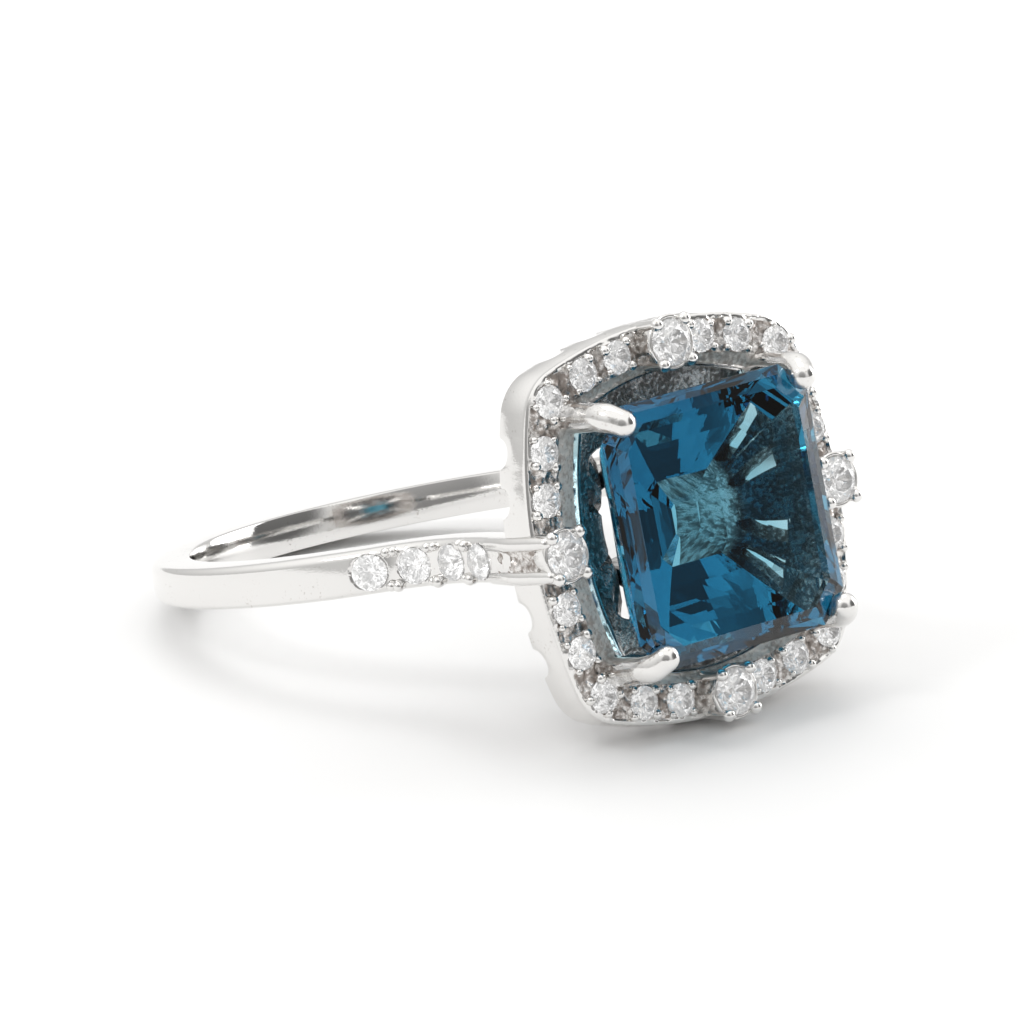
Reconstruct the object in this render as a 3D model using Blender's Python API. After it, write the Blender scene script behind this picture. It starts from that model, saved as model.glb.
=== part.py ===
"""A topaz halo ring, lying on its side as it rests on a table.

A cushion-shaped halo with seats for small stones surrounds a large topaz with cut corners, which four claws
hold above a windowed basket. Four larger round diamonds stand in claw cups at the middle of the halo's four
sides. A plain band carries the head, with a row of seats up each shoulder. All the metal is one cast solid.

Pieces are modelled in the ring's own frame, in millimetres: x across the head, h from the finger's centre
towards the topaz, and a along the finger. At the end one empty lays the whole ring down on its side.
"""

import math

import bmesh
import bpy
from mathutils import Matrix, Vector

MM = 0.001

# Band
FINGER_DIAMETER = 17.3
BAND_THICKNESS = 1.45
BAND_WIDTH = 1.35
BAND_CHAMFER = (0.2, 0.3)
BAND_INNER_EDGE = 0.06
SHOULDER_WIDTH = 1.55
SHOULDER_THICKNESS = 1.15
SHOULDER_ANGLE = 42.0
SHOULDER_STONES = 4
SHOULDER_STONE_DIAMETER = 1.25
SHOULDER_STONE_START = 2.2
SHOULDER_STONE_SPACING = 1.62

# Topaz
TOPAZ_SIDE = 9.0
TOPAZ_CORNER_CUT = 1.05
TOPAZ_GIRDLE = 0.12
TOPAZ_CROWN_STEPS = ((0.32, 0.16), (0.4, 0.12))
TOPAZ_PAVILION_STEPS = ((0.6, 1.0), (0.75, 1.0), (0.85, 0.95), (0.85, 0.8), (0.8, 0.2))
TOPAZ_FACET_SWELL = 0.03
TOPAZ_LIFT = 1.86

# Halo
HALO_MARGIN = 1.5
HALO_BOW = 0.9
HALO_CORNER_RADIUS = 1.1
HALO_OUTER = 0.8
HALO_INNER = 0.95
HALO_NARROW = 0.857
HALO_PINCH = 0.004
HALO_SEAT_SPAN = 0.57
HALO_DEPTH = 1.5
HALO_RISE = 5.55
HALO_STONE_DIAMETER = 1.16
HALO_STONE_PLACES = (1.85, 3.4)
RIM_DROP = 0.25
ARCH_RADIUS = 0.55

# Cups and claws
CARDINAL_DIAMETER = 1.6
CARDINAL_LIFT = 0.75
CUP_WALL = 0.16
CUP_DEPTH = 1.9
PRONG_DIAMETER = 0.42
PRONG_TURN = 41.0
CLAW_DIAMETER = 1.05
CLAW_GRIP = 0.18
CLAW_LEAN = 0.24
CLAW_RISE = 0.5
SEAT_GAP = 0.04
SHARP_ANGLE = 32.0

# Basket
BASKET_WALL = 0.5
BASKET_TOP_WALL = 1.15
BASKET_FOOT = (2.3, 1.9)
BASKET_FOOT_RISE = 0.45
BASKET_FLARE = 5.5
WINDOW_PLACES = (-0.62, -0.31, 0.31, 0.62)
WINDOW_WIDTH = 0.17

# Worked out from the sizes above
FINGER_RADIUS = FINGER_DIAMETER / 2
BAND_RADIUS = FINGER_RADIUS + BAND_THICKNESS
HALO_REACH = TOPAZ_SIDE / 2 + HALO_MARGIN
HALO_TOP = FINGER_RADIUS + HALO_RISE
HALO_BOTTOM = HALO_TOP - HALO_DEPTH
GIRDLE_TOP = HALO_TOP + TOPAZ_LIFT
CARDINAL_GIRDLE = HALO_TOP + CARDINAL_LIFT
FOOT_HEIGHT = FINGER_RADIUS + BASKET_FOOT_RISE

# Materials: name, colour, roughness, metallic
WHITE_GOLD = ("white_gold", (0.86, 0.85, 0.83, 1.0), 0.12, 1.0)
BLUE_TOPAZ = ("blue_topaz", (0.02, 0.24, 0.45, 1.0), 0.02, 0.0)
DIAMOND = ("diamond", (0.93, 0.94, 0.97, 1.0), 0.02, 0.0)


def clear_scene():
    for obj in list(bpy.data.objects):
        bpy.data.objects.remove(obj)


def material(name, color, roughness, metallic):
    made = bpy.data.materials.new(name)
    made.use_nodes = True
    shader = made.node_tree.nodes["Principled BSDF"]
    shader.inputs["Base Color"].default_value = color
    shader.inputs["Roughness"].default_value = roughness
    shader.inputs["Metallic"].default_value = metallic
    return made


def ring_point(x, h, a):
    """A point of the ring's frame in mesh space, where the head looks along -Y and the finger runs along Z."""
    return Vector((x, -h, a))


# Making meshes


def mesh_object(name, bm, collection):
    bmesh.ops.recalc_face_normals(bm, faces=bm.faces)
    mesh = bpy.data.meshes.new(name)
    bm.to_mesh(mesh)
    bm.free()
    obj = bpy.data.objects.new(name, mesh)
    collection.objects.link(obj)
    return obj


def loft(sections, closed):
    """Skins a list of equal loops of points, either joined in a ring or capped at both ends."""
    bm = bmesh.new()
    loops = [[bm.verts.new(point) for point in section] for section in sections]
    count = len(loops[0])
    pairs = list(zip(loops, loops[1:]))
    if closed:
        pairs.append((loops[-1], loops[0]))
    for first, second in pairs:
        for i in range(count):
            j = (i + 1) % count
            bm.faces.new((first[i], first[j], second[j], second[i]))
    if not closed:
        bm.faces.new(reversed(loops[0]))
        bm.faces.new(loops[-1])
    return bm


def rod(name, places, radii, sides, collection):
    """A round rod through places of the ring's frame, with a rounded end at the last one."""
    places = [Vector(place) for place in places]
    radii = list(radii)
    ahead = (places[-1] - places[-2]).normalized()
    tip, radius = places[-1], radii[-1]
    for turn in (35, 68):
        places.append(tip + ahead * radius * math.sin(math.radians(turn)))
        radii.append(radius * math.cos(math.radians(turn)))
    sections = []
    side = Vector((1.0, 0.2, -1.0))
    for i, place in enumerate(places):
        ahead = (places[min(i + 1, len(places) - 1)] - places[max(i - 1, 0)]).normalized()
        side = (side - ahead * side.dot(ahead)).normalized()
        other = ahead.cross(side)
        section = []
        for step in range(sides):
            turn = math.tau * (step + 0.5) / sides
            around = side * math.cos(turn) + other * math.sin(turn)
            section.append(ring_point(*(place + around * radii[i])))
        sections.append(section)
    return mesh_object(name, loft(sections, closed=False), collection)


def turned(name, profile, centre, axis, sides, collection):
    """A solid turned about axis through centre, from (radius, height) pairs, capped at both ends."""
    axis = Vector(axis).normalized()
    side = axis.orthogonal().normalized()
    other = axis.cross(side)
    sections = []
    for radius, height in profile:
        section = []
        for step in range(sides):
            turn = math.tau * (step + 0.5) / sides
            around = side * math.cos(turn) + other * math.sin(turn)
            section.append(ring_point(*(Vector(centre) + axis * height + around * radius)))
        sections.append(section)
    return mesh_object(name, loft(sections, closed=False), collection)


# The halo's outline: four bowed sides, each an arc, and four rounded corners


def bow_radius():
    chord = HALO_REACH - HALO_BOW
    return (chord**2 + HALO_BOW**2) / (2 * HALO_BOW)


def bow_back():
    """How far behind the head's middle the centre of a side's arc lies."""
    return bow_radius() - HALO_REACH


def corner_middle():
    """How far along x and along a the centre of a corner's round lies."""
    reach = bow_radius() - HALO_CORNER_RADIUS
    return (math.sqrt(2 * reach**2 - bow_back() ** 2) - bow_back()) / 2


def turned_quarters(x, a, quarters):
    spin = math.pi / 2 * quarters
    return (x * math.cos(spin) + a * math.sin(spin), a * math.cos(spin) - x * math.sin(spin))


def outline_point(quarter, angle, offset):
    """A point of the outline moved out by offset, at an angle from the middle of one of its four sides."""
    bend = math.atan2(corner_middle(), corner_middle() + bow_back())
    if angle > bend:
        reach = HALO_CORNER_RADIUS + offset
        x = corner_middle() + reach * math.sin(angle)
        a = corner_middle() + reach * math.cos(angle)
    else:
        reach = bow_radius() + offset
        x = reach * math.sin(angle)
        a = reach * math.cos(angle) - bow_back()
    return turned_quarters(x, a, quarter)


def outline_angles(side_steps, corner_steps):
    """(quarter, angle) pairs all the way round, from the start of the first side's arc."""
    bend = math.atan2(corner_middle(), corner_middle() + bow_back())
    pairs = []
    for quarter in range(4):
        for i in range(side_steps):
            pairs.append((quarter, -bend + 2 * bend * i / side_steps))
        for i in range(corner_steps):
            pairs.append((quarter, bend + (math.pi / 2 - 2 * bend) * (i + 0.5) / corner_steps))
    return pairs


def halo_places():
    """(quarter, angle) of each small stone of the halo: those beside each side's middle, and the corner's."""
    places = []
    for quarter in range(4):
        for along in HALO_STONE_PLACES:
            angle = math.asin(along / bow_radius())
            places += [(quarter, -angle), (quarter, angle)]
        places.append((quarter, math.pi / 4))
    return places


# Cut stones


def octagon(half_x, half_a, cut, height):
    points = []
    for x, a in ((1, 1), (1, -1), (-1, -1), (-1, 1)):
        near = (x * half_x, a * (half_a - cut))
        far = (x * (half_x - cut), a * half_a)
        points += [far, near] if x * a > 0 else [near, far]
    return [ring_point(x, height, a) for x, a in points]


def swell_facet(bm, face, swell):
    """Cuts a facet into a fan about a raised middle, as a scissor cut does."""
    middle = face.calc_center_median() + face.normal * swell
    bmesh.ops.poke(bm, faces=[face])["verts"][0].co = middle


def topaz(name, gap, swell, collection):
    """The cut-corner topaz, or with a gap the room that it takes in the metal."""
    half = TOPAZ_SIDE / 2 + gap
    cut = TOPAZ_CORNER_CUT + gap * 0.6
    crown = []
    inset, height = 0.0, GIRDLE_TOP + gap
    for step_in, step_up in TOPAZ_CROWN_STEPS:
        inset += step_in
        height += step_up
        crown.insert(0, octagon(half - inset, half - inset, cut - inset * 0.3, height))
    girdle = [
        octagon(half, half, cut, GIRDLE_TOP + gap),
        octagon(half, half, cut, GIRDLE_TOP - TOPAZ_GIRDLE - gap),
    ]
    pavilion = []
    inset, height = 0.0, GIRDLE_TOP - TOPAZ_GIRDLE - gap
    for step_in, step_down in TOPAZ_PAVILION_STEPS:
        inset += step_in
        height -= step_down
        pavilion.append(octagon(half - inset, half - inset, cut * (1 - inset / half), height))
    bm = loft(crown + girdle + pavilion, closed=False)
    bmesh.ops.recalc_face_normals(bm, faces=bm.faces)
    if swell:
        under = -(GIRDLE_TOP - TOPAZ_GIRDLE)
        below = [f for f in bm.faces if f.calc_center_median().y > under and len(f.verts) == 4]
        for face in below:
            swell_facet(bm, face, swell)
    return mesh_object(name, bm, collection)


def brilliant(name, diameter, gap, centre, collection):
    """A round brilliant whose girdle is at centre, or with a gap the room that it takes in the metal."""
    radius = diameter / 2 + gap
    crown_height, girdle, depth = 0.16 * diameter + gap, 0.03 * diameter + gap, 0.43 * diameter + gap
    rings = (
        (8, 0.0, 0.56, girdle + crown_height),
        (8, 0.5, 0.8, girdle + crown_height * 0.62),
        (16, 0.5, 1.0, girdle),
        (16, 0.5, 1.0, -girdle),
        (8, 0.5, 0.24, -girdle - depth * 0.78),
    )
    bm = bmesh.new()
    loops = []
    for count, shift, share, height in rings:
        loop = []
        for i in range(count):
            turn = math.tau * (i + shift * (8 / count)) / count
            x = centre[0] + radius * share * math.cos(turn)
            a = centre[2] + radius * share * math.sin(turn)
            loop.append(bm.verts.new(ring_point(x, centre[1] + height, a)))
        loops.append(loop)
    table, kites, upper, lower, deep = loops
    culet = bm.verts.new(ring_point(centre[0], centre[1] - girdle - depth, centre[2]))
    bm.faces.new(table)
    for i in range(8):
        j = (i + 1) % 8
        bm.faces.new((table[i], kites[i], table[j]))
        bm.faces.new((table[j], kites[i], upper[2 * i + 1], kites[j]))
        bm.faces.new((kites[i], upper[2 * i], upper[2 * i + 1]))
        bm.faces.new((kites[j], upper[2 * i + 1], upper[(2 * i + 2) % 16]))
        bm.faces.new((lower[2 * i], lower[2 * i + 1], deep[i]))
        bm.faces.new((lower[2 * i + 1], lower[(2 * i + 2) % 16], deep[j]))
        bm.faces.new((lower[2 * i + 1], deep[j], culet, deep[i]))
    for i in range(16):
        j = (i + 1) % 16
        bm.faces.new((upper[i], upper[j], lower[j], lower[i]))
    return mesh_object(name, bm, collection)


def cardinal_places():
    """name and (x, h, a) of the girdle's middle of each large diamond."""
    places = {}
    for quarter, side in enumerate(("top", "right", "bottom", "left")):
        x, a = turned_quarters(0.0, HALO_REACH, quarter)
        places[side] = (x, CARDINAL_GIRDLE, a)
    return places


# The casting's pieces


def arm_path(steps):
    """(outer point, tangent) along one side of the band, from the far end up the shoulder to its cup."""
    path = []
    for i in range(steps):
        angle = math.radians(-90 + (SHOULDER_ANGLE + 90) * i / steps)
        place = Vector((math.cos(angle), math.sin(angle))) * BAND_RADIUS
        path.append((place, Vector((-math.sin(angle), math.cos(angle)))))
    angle = math.radians(SHOULDER_ANGLE)
    start = Vector((math.cos(angle), math.sin(angle))) * BAND_RADIUS
    start_way = Vector((-math.sin(angle), math.cos(angle)))
    end = Vector((HALO_REACH + HALO_OUTER + 0.12, HALO_BOTTOM + 0.35))
    end_way = Vector((0.17, 1.0)).normalized()
    pull = (end - start).length * 0.36
    first, second = start + start_way * pull, end - end_way * pull
    for i in range(steps // 2 + 1):
        t = i / (steps // 2)
        u = 1 - t
        place = u**3 * start + 3 * u * u * t * first + 3 * u * t * t * second + t**3 * end
        way = u * u * (first - start) + 2 * u * t * (second - first) + t * t * (end - second)
        path.append((place, way.normalized()))
    return path


def arm_section(place, way, side, share):
    """The band's section at a point of its path: flat sides, a flat inner face and a slightly domed outer one."""
    widen = min(max((share - 0.3) / 0.3, 0.0), 1.0)
    half = (BAND_WIDTH + (SHOULDER_WIDTH - BAND_WIDTH) * widen) / 2
    thin = min(max((share - 0.62) / 0.3, 0.0), 1.0)
    thickness = BAND_THICKNESS + (SHOULDER_THICKNESS - BAND_THICKNESS) * thin
    out = Vector((way.y, -way.x))
    across, deep = BAND_CHAMFER
    inner = BAND_INNER_EDGE
    profile = (
        (0.0, -half + across),
        (-deep, -half),
        (inner - thickness, -half),
        (-thickness, -half + inner),
        (-thickness, half - inner),
        (inner - thickness, half),
        (-deep, half),
        (0.0, half - across),
    )
    section = []
    for depth, a in profile:
        point = place + out * depth
        section.append(ring_point(side * point.x, point.y, a))
    return section


def band(collection):
    """The finger band with both shoulders, in one sweep from cup to cup round the far side."""
    path = arm_path(24)
    count = len(path) - 1
    right = [arm_section(place, way, 1, i / count) for i, (place, way) in enumerate(path)]
    left = [arm_section(place, way, -1, i / count) for i, (place, way) in enumerate(path)]
    return mesh_object("band", loft(left[:0:-1] + right, closed=False), collection)


def halo_plate(collection):
    """The halo's plate: a smooth outer wall, a top for the seats, and a slope down to its bright inner rim.

    The opening inside the rim is narrower across the head than along the finger.
    """
    top, bottom = HALO_TOP, HALO_BOTTOM
    profile = (
        (HALO_OUTER - 0.22, bottom),
        (HALO_OUTER, bottom + 0.35 * HALO_DEPTH),
        (HALO_OUTER - 0.02, top - 0.14),
        (HALO_OUTER - 0.14, top),
        (-HALO_INNER + 0.38, top),
        (-HALO_INNER + 0.06, top - RIM_DROP),
        (-HALO_INNER, top - RIM_DROP - 0.06),
        (-HALO_INNER, bottom + 0.3 * HALO_DEPTH),
        (-HALO_INNER + 0.4, bottom + 0.02),
    )
    sections = []
    for quarter, angle in outline_angles(12, 4):
        section = []
        for offset, h in profile:
            x, a = outline_point(quarter, angle, offset)
            inward = min(max((-offset - HALO_SEAT_SPAN) / (HALO_INNER - HALO_SEAT_SPAN), 0.0), 1.0)
            narrow = HALO_NARROW - HALO_PINCH * a**2
            section.append(ring_point(x * (1 - (1 - narrow) * inward), h, a))
        sections.append(section)
    return mesh_object("halo_plate", loft(sections, closed=True), collection)


def basket_half(share, foot):
    """The basket wall's reach at a share of its height: straight above its foot, then flaring under the halo."""
    top = HALO_REACH - HALO_INNER + 0.3
    return foot + (top - foot) * share**BASKET_FLARE


def basket(collection):
    """The basket's wall, from under the halo down to its open foot beside the finger hole."""
    shares = (1.0, 0.95, 0.88, 0.78, 0.64, 0.0)
    top = HALO_BOTTOM + 0.5 * HALO_DEPTH
    sections = []
    for quarter, angle in outline_angles(6, 2):
        x, a = outline_point(quarter, angle, 0.0)
        x, a = x / HALO_REACH, a / HALO_REACH
        outer, inner = [], []
        for share in shares:
            h = FOOT_HEIGHT + (top - FOOT_HEIGHT) * share
            reach_x = basket_half(share, BASKET_FOOT[0])
            reach_a = basket_half(share, BASKET_FOOT[1])
            wall = BASKET_WALL + (BASKET_TOP_WALL - BASKET_WALL) * share**BASKET_FLARE
            outer.append(ring_point(x * reach_x, h, a * reach_a))
            inner.append(ring_point(x * (reach_x - wall), h, a * (reach_a - wall)))
        sections.append(outer + inner[::-1])
    return mesh_object("basket", loft(sections, closed=True), collection)


def claw(side_x, side_a, collection):
    """One of the four claws, from the basket's foot up through the halo's corner and over the topaz."""
    corner = TOPAZ_SIDE / 2 - TOPAZ_CORNER_CUT / 2
    reach = corner + (CLAW_DIAMETER / 2 - CLAW_GRIP) / math.sqrt(2)
    radius = CLAW_DIAMETER / 2
    places = (
        (BASKET_FOOT[0] * 0.72, FOOT_HEIGHT + 0.3, BASKET_FOOT[1] * 0.72),
        (reach * 0.72, HALO_BOTTOM - 1.6, reach * 0.7),
        (reach * 0.93, HALO_BOTTOM, reach * 0.92),
        (reach * 1.02, HALO_TOP, reach * 1.02),
        (reach * 1.01, (HALO_TOP + GIRDLE_TOP) / 2 + 0.2, reach * 1.01),
        (reach, GIRDLE_TOP, reach),
        (reach - CLAW_LEAN, GIRDLE_TOP + CLAW_RISE, reach - CLAW_LEAN),
    )
    places = [(side_x * x, h, side_a * a) for x, h, a in places]
    radii = (0.8, 0.85, 0.95, 1.0, 1.0, 1.0, 0.9)
    return rod("claw", places, [radius * share for share in radii], 10, collection)


def cup(side, centre, collection):
    """The cup of a large diamond: a flared collet and four prongs with round heads."""
    radius = CARDINAL_DIAMETER / 2
    turned(
        f"cup_{side}",
        (
            (radius * 0.62, -CUP_DEPTH),
            (radius + CUP_WALL, -0.12),
            (radius + CUP_WALL, 0.0),
            (radius - CUP_WALL / 2, 0.0),
            (radius * 0.3, -radius * 0.8),
        ),
        centre,
        (0, 1, 0),
        12,
        collection,
    )
    thick = PRONG_DIAMETER / 2
    reach = radius + thick * 0.55
    for quarter in range(4):
        turn = math.radians(PRONG_TURN if quarter % 2 else 90 - PRONG_TURN) + math.pi / 2 * quarter
        x, a = reach * math.cos(turn), reach * math.sin(turn)
        foot = (centre[0] + x * 0.86, centre[1] - CUP_DEPTH, centre[2] + a * 0.86)
        head = (centre[0] + x, centre[1] + thick * 0.6, centre[2] + a)
        rod(f"prong_{side}", (foot, head), (thick, thick * 1.1), 8, collection)


def shoulder_rails(collection):
    """The two rails that run up from each shoulder's edges to the outer prongs of its cup."""
    thick = PRONG_DIAMETER / 2
    for side in (-1, 1):
        for edge in (-1, 1):
            a = edge * (SHOULDER_WIDTH / 2 - thick)
            outer = HALO_REACH + HALO_OUTER
            places = (
                (side * (outer - 0.3), HALO_BOTTOM - 1.2, a),
                (side * (outer - 0.02), HALO_BOTTOM + 0.2, a),
                (side * (outer - 0.02), HALO_TOP, a),
                (side * (HALO_REACH + CARDINAL_DIAMETER / 2 - 0.05), CARDINAL_GIRDLE - 0.1, a),
            )
            rod("shoulder_rail", places, (thick * 1.1, thick * 1.2, thick * 1.2, thick), 8, collection)


def scoops(collection):
    """The metal that fills the space between each shoulder's two rails, up to its cup."""
    outer = HALO_REACH + HALO_OUTER
    half = SHOULDER_WIDTH / 2 - PRONG_DIAMETER / 2
    levels = (
        (HALO_BOTTOM - 0.6, outer - 0.5, outer - 0.1),
        (HALO_BOTTOM + 0.3, outer - 0.3, outer + 0.08),
        (HALO_TOP + 0.1, outer - 0.4, outer + 0.06),
    )
    for side in (-1, 1):
        sections = []
        for h, near, far in levels:
            corners = ((near, -half), (far, -half), (far, half), (near, half))
            sections.append([ring_point(side * x, h, a) for x, a in corners])
        mesh_object("scoop", loft(sections, closed=False), collection)


# The casting's cutters


def halo_seats(collection):
    radius = HALO_STONE_DIAMETER / 2
    for quarter, angle in halo_places():
        x, a = outline_point(quarter, angle, 0.0)
        profile = ((radius * 0.35, -radius * 1.05), (radius + 0.02, -0.1), (radius + 0.02, 0.5))
        turned("halo_seat", profile, (x, HALO_TOP, a), (0, 1, 0), 8, collection)


def halo_arches(collection):
    """The scallops along the back edge of the halo's wall, one behind each stone."""
    places = [place for place in halo_places() if place[1] != math.pi / 4]
    for quarter, angle in places:
        x, a = outline_point(quarter, angle, -0.2)
        out_x, out_a = outline_point(quarter, angle, 1.6)
        way = (out_x - x, 0.0, out_a - a)
        profile = ((ARCH_RADIUS, 0.0), (ARCH_RADIUS, 1.8))
        turned("halo_arch", profile, (x, HALO_BOTTOM - 0.08, a), way, 10, collection)


def shoulder_stone_places():
    """(x, h, outward x, outward h) of each shoulder stone on the right-hand side, from the halo down."""
    path = arm_path(24)
    places = []
    travelled = 0.0
    wanted = SHOULDER_STONE_START
    for (place, way), (before, _) in zip(path[-2::-1], path[:0:-1]):
        travelled += (place - before).length
        if travelled >= wanted and len(places) < SHOULDER_STONES:
            back = (travelled - wanted) * way
            places.append((place.x + back.x, place.y + back.y, way.y, -way.x))
            wanted += SHOULDER_STONE_SPACING
    return places


def shoulder_seats(collection):
    radius = SHOULDER_STONE_DIAMETER / 2
    for side in (-1, 1):
        for x, h, out_x, out_h in shoulder_stone_places():
            profile = ((radius * 0.35, -radius), (radius, -0.08), (radius, 0.4))
            way = (side * out_x, out_h, 0.0)
            turned("shoulder_seat", profile, (side * x, h, 0.0), way, 8, collection)


def window(quarter, place, collection):
    """A window through the basket's wall: flat under the halo, and pointed towards the foot."""
    top = HALO_BOTTOM + 0.5 * HALO_DEPTH
    foot = BASKET_FOOT[quarter % 2]
    corners = ((0.6, 0.0), (0.76, -0.5), (0.93, -0.5), (0.93, 0.5), (0.76, 0.5))
    sections = []
    for depth in (0.3, 1.35):
        section = []
        for share, width in corners:
            half = basket_half(share, foot)
            h = FOOT_HEIGHT + (top - FOOT_HEIGHT) * share
            across = (place + width * WINDOW_WIDTH) * half
            x, a = turned_quarters(across, half * depth, quarter)
            section.append(ring_point(x, h, a))
        sections.append(section)
    return mesh_object("window", loft(sections, closed=False), collection)


def casting(visible, parts, cutters):
    """All the metal as one solid: every piece joined to the band, then every seat and opening cut."""
    solid = band(visible)
    solid.name = "ring_casting"
    halo_plate(parts)
    basket(parts)
    for side_x in (-1, 1):
        for side_a in (-1, 1):
            claw(side_x, side_a, parts)
    for side, centre in cardinal_places().items():
        cup(side, centre, parts)
        brilliant(f"cup_room_{side}", CARDINAL_DIAMETER, SEAT_GAP, centre, cutters)
    shoulder_rails(parts)
    scoops(parts)
    topaz("topaz_room", SEAT_GAP, 0.0, cutters)
    halo_seats(cutters)
    halo_arches(cutters)
    shoulder_seats(cutters)
    for quarter in range(4):
        for place in WINDOW_PLACES:
            window(quarter, place, cutters)
    for title, operation, collection in (("join", "UNION", parts), ("cut", "DIFFERENCE", cutters)):
        step = solid.modifiers.new(title, "BOOLEAN")
        step.operation = operation
        step.operand_type = "COLLECTION"
        step.collection = collection
        step.solver = "EXACT"
    bake_modifiers(solid)
    return solid


def helper_collection(name):
    made = bpy.data.collections.new(name)
    bpy.context.scene.collection.children.link(made)
    return made


def bake_modifiers(obj):
    """Makes the evaluated mesh the object's own, so that the pieces it was made from can go."""
    graph = bpy.context.evaluated_depsgraph_get()
    mesh = bpy.data.meshes.new_from_object(obj.evaluated_get(graph))
    mesh.name = obj.name
    obj.modifiers.clear()
    obj.data = mesh


def remove_helpers(collection):
    for obj in list(collection.objects):
        bpy.data.objects.remove(obj)
    bpy.data.collections.remove(collection)


def shade_round(obj):
    """Smooth shading for a piece with rounded walls, kept flat over its real edges."""
    obj.data.shade_smooth()
    obj.data.set_sharp_from_angle(angle=math.radians(SHARP_ANGLE))


# Laying the ring down


def resting_turn(points):
    """The turn about X that brings the head's lowest points and the far end of the band level."""
    turn = 0.0
    head = [point for point in points if point.y < -FINGER_RADIUS]
    tail = [point for point in points if point.y > FINGER_RADIUS]
    for _ in range(8):
        lay = Matrix.Rotation(turn, 3, "X")
        low_head = min(head, key=lambda point: (lay @ point).z)
        low_tail = min(tail, key=lambda point: (lay @ point).z)
        turn = -math.atan2(low_tail.z - low_head.z, low_tail.y - low_head.y)
    return turn


def lay_down(pieces):
    """Turns every piece about one empty so that the ring rests on Z = 0, centred over the origin."""
    points = [vertex.co for piece in pieces for vertex in piece.data.vertices]
    turn = resting_turn(points)
    lay = Matrix.Rotation(turn, 3, "X")
    laid = [lay @ point for point in points]
    middle_y = (min(point.y for point in laid) + max(point.y for point in laid)) / 2
    lowest = min(point.z for point in laid)
    rest = bpy.data.objects.new("rest_pose", None)
    bpy.context.scene.collection.objects.link(rest)
    rest.rotation_euler = (turn, 0.0, 0.0)
    rest.location = (0.0, -middle_y * MM, -lowest * MM)
    rest.scale = (MM, MM, MM)
    for piece in pieces:
        piece.parent = rest


def main():
    clear_scene()
    visible = bpy.context.scene.collection
    parts = helper_collection("casting_parts")
    cutters = helper_collection("casting_cutters")
    metal = casting(visible, parts, cutters)
    metal.data.materials.append(material(*WHITE_GOLD))
    shade_round(metal)
    for collection in (parts, cutters):
        remove_helpers(collection)
    stone = topaz("topaz", 0.0, TOPAZ_FACET_SWELL, visible)
    stone.data.materials.append(material(*BLUE_TOPAZ))
    clear = material(*DIAMOND)
    pieces = [metal, stone]
    for side, centre in cardinal_places().items():
        diamond = brilliant(f"cardinal_diamond_{side}", CARDINAL_DIAMETER, 0.0, centre, visible)
        diamond.data.materials.append(clear)
        pieces.append(diamond)
    lay_down(pieces)


main()
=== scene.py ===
"""A topaz halo ring in white gold, lying on its side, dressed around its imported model.

Every piece is modelled in the ring's own frame, in millimetres: x across the head, h from the finger's centre
towards the topaz, and a along the finger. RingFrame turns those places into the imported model's frame.
"""

from __future__ import annotations

import logging
import math
import random
from collections.abc import Sequence
from dataclasses import dataclass, field
from enum import Enum

import bmesh
import bpy
import numpy as np
from mathutils import Matrix, Vector


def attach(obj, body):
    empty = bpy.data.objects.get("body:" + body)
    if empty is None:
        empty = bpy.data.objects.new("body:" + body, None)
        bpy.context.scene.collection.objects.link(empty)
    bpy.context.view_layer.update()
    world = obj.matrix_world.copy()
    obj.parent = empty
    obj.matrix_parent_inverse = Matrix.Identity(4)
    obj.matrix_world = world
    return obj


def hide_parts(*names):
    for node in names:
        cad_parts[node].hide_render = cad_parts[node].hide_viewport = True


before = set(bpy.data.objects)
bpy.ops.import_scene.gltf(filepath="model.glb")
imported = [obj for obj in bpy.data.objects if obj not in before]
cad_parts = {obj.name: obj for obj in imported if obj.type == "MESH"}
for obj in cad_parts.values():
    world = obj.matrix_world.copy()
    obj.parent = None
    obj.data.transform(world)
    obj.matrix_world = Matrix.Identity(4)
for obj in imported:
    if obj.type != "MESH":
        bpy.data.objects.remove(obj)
log = logging.getLogger("topaz_ring")

MM = 0.001

Place = tuple[float, float, float]
Section = list[Place]
Skin = tuple[np.ndarray, list[list[int]]]
Color = tuple[float, float, float, float]
Object = bpy.types.Object
Material = bpy.types.Material


class Slot(Enum):
    """The material slots."""

    GOLD = "white_gold"
    TOPAZ = "blue_topaz"
    DIAMOND = "diamond"


class Side(Enum):
    """The four sides of the head, by the quarter turns from the one along +a."""

    TOP = 0
    RIGHT = 1
    BOTTOM = 2
    LEFT = 3


# Places


@dataclass(frozen=True)
class RingFrame:
    """The ring's own frame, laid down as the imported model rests.

    Attributes:
        tilt: Degrees about X that bring the head and the far side of the band level.
        centre_y: The finger hole's centre along Y, in millimetres.
        centre_z: The finger hole's centre above the table, in millimetres.
    """

    tilt: float = -14.987
    centre_y: float = 3.8063
    centre_z: float = 3.1863

    def matrix(self) -> Matrix:
        """Returns the matrix from (x, -h, a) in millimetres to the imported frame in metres."""
        lift = Matrix.Translation((0.0, self.centre_y * MM, self.centre_z * MM))
        turn = Matrix.Rotation(math.radians(self.tilt), 4, "X")
        return lift @ turn @ Matrix.Scale(MM, 4)

    def place(self, points: np.ndarray) -> np.ndarray:
        """Turns rows of (x, h, a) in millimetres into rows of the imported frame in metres."""
        matrix = np.array(self.matrix())
        mesh_space = np.stack((points[:, 0], -points[:, 1], points[:, 2]), axis=1)
        return mesh_space @ matrix[:3, :3].T + matrix[:3, 3]

    def direction(self, way: Sequence[float]) -> Vector:
        """Turns a direction (x, h, a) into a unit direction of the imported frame."""
        turned = self.matrix().to_3x3() @ Vector((way[0], -way[1], way[2]))
        return turned.normalized()


RING = RingFrame()


# Shader and geometry trees


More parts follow.
